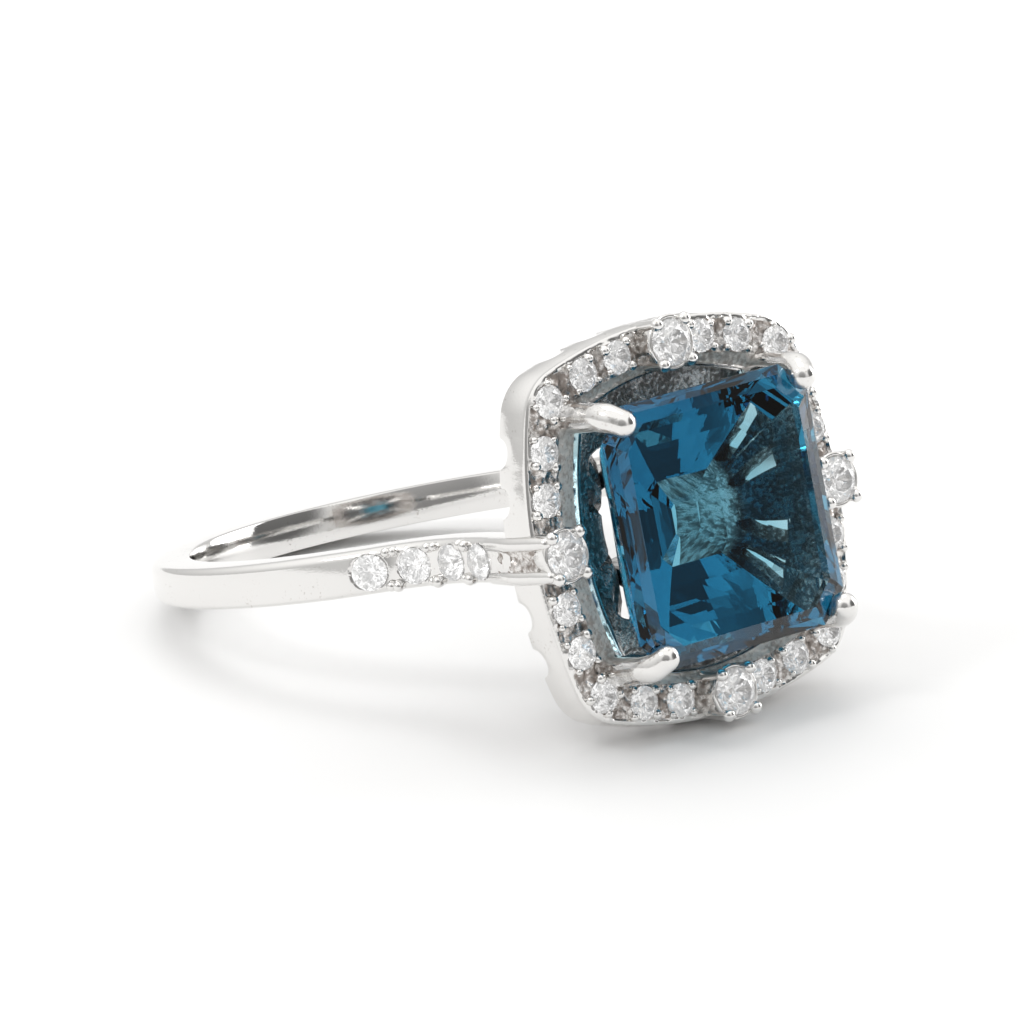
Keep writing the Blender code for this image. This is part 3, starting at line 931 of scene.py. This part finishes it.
@dataclass
class Halo:
    """The halo's plate: a smooth outer wall with a scalloped back edge, seats, and a bright inner rim.

    The opening inside the rim is narrower across the head than along the finger.
    """

    top: float = 14.2
    depth: float = 1.5
    outer: float = 0.8
    inner: float = 0.95
    narrow: float = 0.857
    pinch: float = 0.004
    seat_span: float = 0.57
    rim_drop: float = 0.25
    stone_diameter: float = 1.16
    stone_places: tuple[float, ...] = (1.85, 3.4)
    stone_lift: float = 0.05
    seat_share: float = 0.46
    arch_radius: float = 0.55
    bead_radius: float = 0.19

    @property
    def bottom(self) -> float:
        """The height of the plate's back."""
        return self.top - self.depth

    def stones(self) -> list[tuple[int, float]]:
        """Returns (quarter, angle) of each small stone."""
        places = []
        for quarter in range(4):
            for along in self.stone_places:
                angle = math.asin(along / OUTLINE.bow_radius)
                places += [(quarter, -angle), (quarter, angle)]
            places.append((quarter, math.pi / 4))
        return places

    def _profile(self) -> list[tuple[float, float, str]]:
        """Returns the plate's section as (offset, height, part) from the back of the outer wall round."""
        top, bottom = self.top, self.bottom
        points = []
        for share in np.linspace(0.0, 1.0, 12):
            bulge = 0.16 * math.sin(math.pi * (0.25 + 0.62 * share))
            points.append((self.outer - 0.16 + bulge, bottom + 0.06 + (self.depth - 0.22) * share, "wall"))
        for run, rise in arc((30, 60, 90)):
            points.append((self.outer - 0.16 + 0.13 * run, top - 0.13 + 0.13 * rise, "edge"))
        for offset in np.linspace(self.outer - 0.24, -self.inner + 0.4, 27):
            points.append((float(offset), top, "top"))
        for share in np.linspace(0.08, 0.92, 9):
            points.append((-self.inner + 0.38 - 0.26 * share, top - self.rim_drop * share, "slope"))
        lip = top - self.rim_drop
        for x, y in ((0.11, 0.0), (0.07, 0.05), (0.03, 0.04), (0.0, -0.02), (0.0, -0.12)):
            points.append((-self.inner + x, lip + y, "lip"))
        for share in (0.3, 0.6, 1.0):
            points.append((-self.inner, lip - 0.12 - (self.depth * 0.7 - self.rim_drop - 0.12) * share, "inside"))
        for offset in (-0.55, -0.26, -0.2, 0.1, 0.35, 0.55):
            points.append((offset, bottom, "back"))
        return points

    def _away(self, points: np.ndarray) -> np.ndarray:
        """Returns how far each row of (x, a) is from the nearest small stone's middle."""
        return nearest(points, [OUTLINE.at(quarter, angle, 0.0) for quarter, angle in self.stones()])

    def _seats(self, points: np.ndarray) -> np.ndarray:
        """Returns how far the top rises, or sinks if negative, over rows of (x, a)."""
        radius = self.stone_diameter / 2
        away = self._away(points)
        cone = -np.minimum((radius * 0.97 - away) * 1.15, 0.55)
        lip = 0.035 * np.exp(-(((away - radius - 0.04) / 0.05) ** 2))
        between = -0.07 * np.clip((away - radius - 0.08) / 0.2, 0, 1)
        rise = lip + between + 0.03 * lumps(points, 0.34, 3) + 0.02 * lumps(points, 0.16, 4)
        return np.where(away < radius * 0.97, cone, rise)

    def _at(self, quarter: int, angle: float, offset: float, height: float) -> Place:
        """Returns a point of the plate, drawn in across the head where it nears the rim."""
        x, a = OUTLINE.at(quarter, angle, offset)
        inward = min(max((-offset - self.seat_span) / (self.inner - self.seat_span), 0.0), 1.0)
        return (x * (1 - (1 - self.narrow + self.pinch * a**2) * inward), height, a)

    def build(self, material: Material, rim: Material, slope: Material) -> Object:
        """Sweeps the plate round the outline and sinks its seats.

        Args:
            material: The finish of its top and back.
            rim: The finish of its outer wall, its cut seats and its bright inner lip.
            slope: The finish of the slope between the seats and the lip.

        Returns:
            The finished piece.
        """
        pairs = OUTLINE.angles(118, 34)
        profile = self._profile()
        stones = [OUTLINE.at(q, angle, self.outer) for q, angle in self.stones() if angle != math.pi / 4]
        sections = np.array([[self._at(q, angle, off, h) for off, h, _ in profile] for q, angle in pairs])
        edge = np.array([OUTLINE.at(q, angle, self.outer) for q, angle in pairs])
        away = nearest(edge, stones)
        arch = np.maximum(np.sqrt(np.maximum(self.arch_radius**2 - away**2, 0.0)) - 0.08, 0.0)
        for k, (offset, h, part) in enumerate(profile):
            if part == "top":
                sections[:, k, 1] += self._seats(sections[:, k][:, [0, 2]])
            elif part == "slope":
                sections[:, k, 1] += 0.025 * lumps(sections[:, k][:, [0, 2]], 0.16, 5)
            elif part == "wall":
                share = 1.0 - (h - self.bottom) / self.depth
                sections[:, k, 1] += arch * share**1.5
            elif part == "back" and offset > -0.25:
                sections[:, k, 1] += arch
        points, faces = loft(sections, closed=True)
        obj = finish_piece(make_mesh("halo", points, faces, sharp=50.0), material)
        in_seat = self._away(points[:, [0, 2]]) < self.stone_diameter * self.seat_share
        obj.data.materials.append(rim)
        obj.data.materials.append(slope)
        finish = {"wall": 1, "edge": 1, "lip": 1, "slope": 2}
        for face in obj.data.polygons:
            at = min(index % len(profile) for index in face.vertices)
            seat = profile[at][2] == "top" and all(in_seat[index] for index in face.vertices)
            face.material_index = 1 if seat else finish.get(profile[at][2], 0)
        return obj


@dataclass
class Basket:
    """The basket under the halo: a flaring wall with pointed windows, over its open foot beside the finger hole."""

    wall: float = 0.5
    top_wall: float = 1.15
    foot: tuple[float, float] = (2.3, 1.9)
    foot_height: float = 9.1
    top_height: float = 13.45
    top_reach: float = 5.35
    flare: float = 5.5
    windows: tuple[float, ...] = (-0.62, -0.31, 0.31, 0.62)
    window_width: float = 0.17

    def _reach(self, share: float, foot: float) -> float:
        """Returns the wall's reach at a share of its height: straight above its foot, then flaring."""
        return foot + (self.top_reach - foot) * share**self.flare

    def _height(self, share: float) -> float:
        """Returns the height at a share of the basket's own height."""
        return self.foot_height + (self.top_height - self.foot_height) * share

    def _wall(self) -> Skin:
        """Returns the wall without its windows."""
        shares = [*np.linspace(1.0, 0.6, 14), *np.linspace(0.5, 0.0, 5)]
        sections = []
        for quarter, angle in OUTLINE.angles(24, 8):
            x, a = OUTLINE.at(quarter, angle, 0.0)
            x, a = x / OUTLINE.reach, a / OUTLINE.reach
            outer, inner = [], []
            for share in shares:
                h = self._height(share)
                reach_x, reach_a = self._reach(share, self.foot[0]), self._reach(share, self.foot[1])
                wall = self.wall + (self.top_wall - self.wall) * share**self.flare
                outer.append((x * reach_x, h, a * reach_a))
                inner.append((x * (reach_x - wall), h, a * (reach_a - wall)))
            sections.append(outer + inner[::-1])
        return loft(np.array(sections), closed=True)

    def _window(self, quarter: int, place: float) -> Skin:
        """Returns the room of one window: flat under the halo, and pointed towards the foot."""
        foot = self.foot[quarter % 2]
        corners = ((0.6, 0.0), (0.7, -0.42), (0.76, -0.5), (0.93, -0.5), (0.93, 0.5), (0.76, 0.5), (0.7, 0.42))
        sections = []
        for depth in (0.3, 1.35):
            section = []
            for share, width in corners:
                half = self._reach(share, foot)
                h = self._height(share)
                x, a = quarter_turned((place + width * self.window_width) * half, half * depth, quarter)
                section.append((x, h, a))
            sections.append(section)
        return loft(np.array(sections), closed=False)

    def build(self, material: Material) -> Object:
        """Cuts the windows through the wall."""
        obj = make_mesh("basket", *self._wall())
        rooms = [self._window(quarter, place) for quarter in range(4) for place in self.windows]
        cutter = make_mesh("window_rooms", *join(rooms), sharp=None)
        cut = obj.modifiers.new("windows", "BOOLEAN")
        cut.operation = "DIFFERENCE"
        cut.object = cutter
        cut.solver = "EXACT"
        cut.use_self = True
        soften = obj.modifiers.new("soften", "BEVEL")
        soften.width = 0.04 * MM
        soften.segments = 2
        soften.angle_limit = math.radians(40)
        made = modified_mesh(obj, "basket")
        obj.modifiers.clear()
        obj.data = made
        bpy.data.objects.remove(cutter)
        return finish_piece(obj, material)


@dataclass
class Claws:
    """The four claws that rise through the halo's corners and close over the topaz."""

    diameter: float = 1.05
    grip: float = 0.18
    lean: float = 0.24
    rise: float = 0.5

    def build(self, stone: Topaz, halo: Halo, basket: Basket, material: Material) -> Object:
        """Sweeps the claws from the basket's foot to their round heads."""
        corner = stone.side / 2 - stone.corner_cut / 2
        reach = corner + (self.diameter / 2 - self.grip) / math.sqrt(2)
        places = (
            (basket.foot[0] * 0.72, basket.foot_height + 0.3, basket.foot[1] * 0.72),
            (reach * 0.72, halo.bottom - 1.6, reach * 0.7),
            (reach * 0.93, halo.bottom, reach * 0.92),
            (reach * 1.02, halo.top, reach * 1.02),
            (reach * 1.01, (halo.top + stone.girdle_top) / 2 + 0.2, reach * 1.01),
            (reach, stone.girdle_top, reach),
            (reach - self.lean, stone.girdle_top + self.rise, reach - self.lean),
        )
        radii = [self.diameter / 2 * share for share in (0.8, 0.85, 0.95, 1.0, 1.0, 1.0, 0.9)]
        parts = []
        for x in (-1, 1):
            for a in (-1, 1):
                own = [(x * px, h, a * pa) for px, h, pa in places]
                parts.append(rod(own, radii, sides=28))
        obj = make_mesh("claws", *join(parts), sharp=60.0)
        return finish_piece(obj, material)


@dataclass
class Cups:
    """The cups of the four large diamonds, with their prongs, and the rails from the shoulders to two of them."""

    diameter: float = 1.6
    girdle_height: float = 14.95
    wall: float = 0.16
    depth: float = 1.9
    prong: float = 0.42
    prong_turn: float = 41.0

    def centre(self, side: Side) -> Place:
        """Returns the middle of a large diamond's girdle."""
        x, a = OUTLINE.at(side.value, 0.0, 0.0)
        return (x, self.girdle_height, a)

    def build_collets(self, material: Material) -> Object:
        """Turns the flared collets."""
        radius = self.diameter / 2
        profile = (
            (radius * 0.62, -self.depth),
            (radius * 0.8, -1.25),
            (radius + self.wall * 0.4, -0.62),
            (radius + self.wall * 0.9, -0.16),
            (radius + self.wall, -0.04),
            (radius + self.wall * 0.7, 0.03),
            (radius + 0.05, 0.02),
            (radius - 0.01, -0.05),
            (radius * 0.6, -0.45),
            (radius * 0.2, -0.85),
        )
        copies = Repeat("collets", spin=0.0)
        for side in Side:
            copies.add(self.centre(side), (0.0, 1.0, 0.0))
        return copies.build(turned_shape("collet", profile, 40), material, Slot.GOLD)

    def build_prongs(self, material: Material) -> Object:
        """Stands four prongs with ball heads round each large diamond."""
        radius, thick = self.diameter / 2, self.prong / 2
        reach = radius + thick * 0.55
        height = self.depth + thick * 0.6
        profile = [(thick * 0.9, 0.0), (thick * 0.95, height * 0.5), (thick * 0.98, height - thick * 0.4)]
        profile += [(thick * 1.12 * run, height + thick * 1.12 * rise) for run, rise in arc(range(0, 90, 12))]
        copies = Repeat("prongs", spin=0.0)
        for side in Side:
            x0, h0, a0 = self.centre(side)
            for quarter in range(4):
                turn = math.radians(self.prong_turn if quarter % 2 else 90 - self.prong_turn)
                turn += math.pi / 2 * quarter
                x, a = reach * math.cos(turn), reach * math.sin(turn)
                foot = (x0 + x * 0.86, h0 - self.depth, a0 + a * 0.86)
                copies.add(foot, (x * 0.14, height, a * 0.14))
        return copies.build(turned_shape("prong", profile, 20), material, Slot.GOLD)

    def build_rails(self, band: Band, halo: Halo, material: Material) -> Object:
        """Runs the two rails of each shoulder up to the outer prongs of its cup."""
        thick = self.prong / 2
        outer = OUTLINE.reach + halo.outer
        parts = []
        for side in (-1, 1):
            for edge in (-1, 1):
                a = edge * (band.shoulder_width / 2 - thick)
                places = (
                    (side * (outer - 0.3), halo.bottom - 1.2, a),
                    (side * (outer - 0.02), halo.bottom + 0.2, a),
                    (side * (outer - 0.02), halo.top, a),
                    (side * (OUTLINE.reach + self.diameter / 2 - 0.05), self.girdle_height - 0.1, a),
                )
                radii = (thick * 1.1, thick * 1.2, thick * 1.2, thick)
                parts.append(rod(places, radii, sides=20))
        obj = make_mesh("shoulder_rails", *join(parts), sharp=60.0)
        return finish_piece(obj, material)


@dataclass
class Scoops:
    """The rough hollowed metal between each shoulder's two rails."""

    deep: float = 0.6
    hollow: float = 0.1
    seed: int = 21

    def build(self, band: Band, halo: Halo, cups: Cups, material: Material) -> Object:
        """Fills the space between the rails with a lumpy trough.

        Args:
            band: The band, for the width between its rails.
            halo: The halo, whose wall the metal stands against.
            cups: The cups that the shoulders end at.
            material: The finish.

        Returns:
            The finished piece.
        """
        half = band.shoulder_width / 2 - cups.prong / 2
        outer = OUTLINE.reach + halo.outer
        heights = (halo.bottom - 1.1, halo.bottom - 0.33, halo.bottom + 0.35, halo.top + 0.1)
        reaches = (outer - 0.1, outer + 0.06, outer + 0.17, outer + 0.1)
        sections = []
        for h in np.linspace(heights[0], heights[-1], 48):
            far = float(np.interp(h, heights, reaches))
            row = [(far - self.deep, float(h), -half), (far - self.deep, float(h), half)]
            for a in np.linspace(half, -half, 23):
                row.append((far - self.hollow * (1 - (a / half) ** 2), float(h), float(a)))
            sections.append(row)
        right = np.array(sections)
        face = right[:, 2:].reshape(-1, 3)
        rough = 0.045 * lumps(face[:, 1:], 0.34, self.seed) + 0.02 * lumps(face[:, 1:], 0.14, self.seed + 1)
        right[:, 2:, 0] += np.minimum(rough, 0.06).reshape(right.shape[0], -1)
        left = right * np.array([-1.0, 1.0, 1.0])
        obj = make_mesh("shoulder_scoops", *join([loft(right, closed=False), loft(left, closed=False)]))
        return finish_piece(obj, material)


@dataclass
class Pave:
    """The small diamonds of the halo and the shoulders, and the beads that hold them."""

    halo: Halo
    band: Band

    def build_stones(self, material: Material) -> Object:
        """Sets the small diamonds."""
        stones = Repeat("small_diamonds")
        for quarter, angle in self.halo.stones():
            x, a = OUTLINE.at(quarter, angle, 0.0)
            stones.add((x, self.halo.top + self.halo.stone_lift, a), (0.0, 1.0, 0.0))
        for side in (-1, 1):
            for place, out in self.band.stone_places():
                at = place + out * 0.03
                size = self.band.stone_diameter / self.halo.stone_diameter
                stones.add((side * at.x, at.y, 0.0), (side * out.x, out.y, 0.0), size)
        return stones.build(brilliant_shape("small_brilliant", self.halo.stone_diameter), material, Slot.DIAMOND)

    def build_beads(self, material: Material) -> Object:
        """Raises four beads round each of the halo's stones, and pairs between the shoulders' stones."""
        rng = random.Random(5)
        beads = Repeat("beads", seed=3)
        for quarter, angle in self.halo.stones():
            x0, a0 = OUTLINE.at(quarter, angle, 0.0)
            out_x, out_a = OUTLINE.at(quarter, angle, 1.0)
            way = Vector((out_x - x0, out_a - a0))
            for along in (-1, 1):
                for across in (-1, 1):
                    run = along * (0.46 + rng.uniform(-0.05, 0.05))
                    step = across * (0.43 + rng.uniform(-0.05, 0.05))
                    x, a = x0 - way.y * run + way.x * step, a0 + way.x * run + way.y * step
                    lean = (rng.uniform(-0.25, 0.25), 1.0, rng.uniform(-0.25, 0.25))
                    beads.add((x, self.halo.top + 0.05, a), lean, rng.uniform(0.6, 1.05))
        log.info("%d beads stand round the halo's stones", len(beads.copies))
        for side in (-1, 1):
            places = self.band.stone_places()
            for (first, out), (second, _) in zip(places, places[1:]):
                for share in (0.42, 0.58):
                    middle = first.lerp(second, share)
                    for a in (-0.56, 0.56):
                        at = middle - out * rng.uniform(0.0, 0.06)
                        place = (side * at.x, at.y, a + rng.uniform(-0.04, 0.04))
                        beads.add(place, (side * out.x, out.y, 0.3 * a), rng.uniform(0.8, 1.15))
        radius = self.halo.bead_radius
        profile = [(radius, -radius)]
        profile += [(radius * run, radius * rise + 0.05) for run, rise in arc(range(0, 90, 15))]
        return beads.build(turned_shape("bead", profile, 12), material, Slot.GOLD)


# The studio


@dataclass
class Studio:
    """A pale sheet, a soft tent of light with two dark cards in it, three softboxes and the camera.

    Attributes:
        half: Half the sheet's side, in metres.
        dark_cards: The azimuth, elevation, half width in degrees, and darkness of each card.
        camera_azimuth: The camera's direction round the ring, in degrees.
        camera_elevation: Its height above the table, in degrees.
        camera_roll: Its turn about its own line of sight, in degrees.
        camera_distance: How far it is from its aim, in millimetres.
        camera_aim: The place it looks at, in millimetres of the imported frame.
        camera_lens: Its lens, in millimetres.
    """

    half: float = 2.5
    dark_cards: tuple[tuple[float, float, float, float], ...] = ((-39.3, 18.1, 38.0, 0.6), (43.0, 20.0, 31.0, 0.8))
    camera_azimuth: float = -39.344
    camera_elevation: float = 18.099
    camera_roll: float = -1.134
    camera_distance: float = 266.29
    camera_aim: Place = (2.2037, 2.2151, 3.6627)
    camera_lens: float = 266.31

    def toward(self, azimuth: float, elevation: float) -> Vector:
        """Returns the direction to an azimuth, from -Y towards +X, and an elevation, in degrees."""
        turn, rise = math.radians(azimuth), math.radians(elevation)
        return Vector((math.sin(turn) * math.cos(rise), -math.cos(turn) * math.cos(rise), math.sin(rise)))

    def build_floor(self) -> None:
        """Lays the pale sheet."""
        half = self.half
        mesh = bpy.data.meshes.new("floor")
        corners = [(-half, -half, 0.0), (half, -half, 0.0), (half, half, 0.0), (-half, half, 0.0)]
        mesh.from_pydata(corners, [], [[0, 1, 2, 3]])
        mesh.materials.append(Paper().material())
        add_object("floor", mesh)

    def build_tent(self) -> None:
        """Lights the scene by a tent, bright overhead and greyer low down, with the dark cards hung in it."""
        world = bpy.data.worlds.new("tent")
        world.use_nodes = True
        bpy.context.scene.world = world
        graph = Graph(world.node_tree)
        way = graph.add("ShaderNodeTexCoord", output="Generated")
        height = graph.add("ShaderNodeSeparateXYZ", {0: way}, output="Z")
        strength = 0.66 + height.over(0.0, 0.85) * 0.52
        for azimuth, elevation, width, depth in self.dark_cards:
            dot = {0: way, 1: tuple(self.toward(azimuth, elevation))}
            facing = graph.add("ShaderNodeVectorMath", dot, output="Value", operation="DOT_PRODUCT")
            card = facing.over(math.cos(math.radians(width)), math.cos(math.radians(width * 0.5)))
            strength = strength * (1.0 - card * depth)
        light = graph.add("ShaderNodeBackground", {"Color": (1.0, 0.995, 0.985, 1.0), "Strength": strength})
        graph.add("ShaderNodeOutputWorld", {"Surface": light})

    def build_lamp(
        self, name: str, azimuth: float, elevation: float, size: float, power: float, distance: float = 0.7
    ) -> None:
        """Hangs a square softbox that looks at the ring.

        Args:
            name: The lamp's name.
            azimuth: Its direction round the ring, in degrees.
            elevation: Its height above the table, in degrees.
            size: Its side, in metres.
            power: Its power, in watts.
            distance: How far from the ring it hangs, in metres.
        """
        lamp = bpy.data.lights.new(name, "AREA")
        lamp.shape = "SQUARE"
        lamp.size = size
        lamp.energy = power
        obj = add_object(name, lamp)
        way = self.toward(azimuth, elevation)
        obj.location = way * distance
        obj.rotation_euler = way.to_track_quat("Z", "Y").to_euler()

    def build_camera(self) -> None:
        """Stands the camera."""
        back = self.toward(self.camera_azimuth, self.camera_elevation)
        right = Vector((0.0, 0.0, 1.0)).cross(back).normalized()
        up = back.cross(right)
        roll = math.radians(self.camera_roll)
        across = right * math.cos(roll) + up * math.sin(roll)
        above = up * math.cos(roll) - right * math.sin(roll)
        data = bpy.data.cameras.new("camera")
        data.lens = self.camera_lens
        data.sensor_width = 36.0
        data.clip_start = 0.01
        camera = add_object("camera", data)
        turn = Matrix((across, above, back)).transposed().to_4x4()
        place = (Vector(self.camera_aim) + back * self.camera_distance) * MM
        camera.matrix_world = Matrix.Translation(place) @ turn
        bpy.context.scene.camera = camera

    def build(self) -> None:
        """Builds the whole studio."""
        self.build_floor()
        self.build_tent()
        self.build_lamp("key", -100.0, 48.0, 0.14, 0.55)
        self.build_lamp("fill", 80.0, 16.0, 0.2, 0.28, distance=0.33)
        self.build_lamp("top", 150.0, 70.0, 0.3, 0.6)
        self.build_camera()
        bpy.context.scene.view_settings.view_transform = "Standard"


def main() -> None:
    """Builds the ring piece by piece, then the studio."""
    logging.basicConfig(level=logging.INFO, format="%(name)s: %(message)s")
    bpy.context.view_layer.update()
    polished = WhiteGold("polished_white_gold").material()
    mirror = WhiteGold("mirror_white_gold", smooth=0.035, ripple=0.0025, grain=0.002).material()
    # The cast finish: rough cast grain, with a dark brown colour over most of it that is painted shade between the
    # halo's stones and in the hollows between the rails.
    cast_shade_look = {"smooth": 0.18, "rough": 0.42, "ripple": 0.01, "grain": 0.035, "grain_scale": 5.0, "wear_and_shade": 0.65}
    cast = WhiteGold("cast_shaded_white_gold", (0.82, 0.8, 0.78, 1.0), (0.34, 0.3, 0.275, 1.0), **cast_shade_look).material()
    # The ground finish of the slope under the topaz: rough and half diffuse, with a brown colour that is partly
    # painted shade under the stone.
    ground_shade_look = {"smooth": 0.5, "rough": 0.75, "ripple": 0.01, "grain": 0.04, "grain_scale": 6.0, "wear_and_shade": 0.6}
    ground = WhiteGold(
        "ground_shaded_white_gold", (0.8, 0.77, 0.74, 1.0), (0.5, 0.45, 0.42, 1.0), **ground_shade_look, mirror=0.35
    ).material()
    # The drawn finish of the basket: streaky grain, with both colours darkened as painted shade under the topaz.
    drawn_shade_look = {"smooth": 0.12, "rough": 0.42, "ripple": 0.012, "grain": 0.05, "grain_scale": 7.0, "wear_and_shade": 0.75}
    drawn = WhiteGold(
        "drawn_shaded_white_gold", (0.62, 0.62, 0.62, 1.0), (0.16, 0.15, 0.145, 1.0), **drawn_shade_look, streak=5.0
    ).material()
    diamond = CutStone("diamond_white", ior=2.3, clarity=0.96, glow=0.06).material()
    blue = CutStone("topaz_blue", ior=1.62, tint=(0.03, 0.235, 0.39, 1.0), clear=9.0).material()

    topaz, band, halo, basket, cups = Topaz(), Band(), Halo(), Basket(), Cups()
    topaz.build(blue)
    band.build(mirror)
    halo.build(cast, polished, ground)
    basket.build(drawn)
    Claws().build(topaz, halo, basket, polished)
    cups.build_collets(polished)
    cups.build_prongs(polished)
    cups.build_rails(band, halo, polished)
    Scoops().build(band, halo, cups, cast)
    pave = Pave(halo, band)
    pave.build_stones(diamond)
    pave.build_beads(polished)
    for side in Side:
        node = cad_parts[f"cardinal_diamond_{side.name.lower()}"]
        node.data.materials.clear()
        node.data.materials.append(diamond)
    Studio().build()


if __name__ == "__main__":
    main()
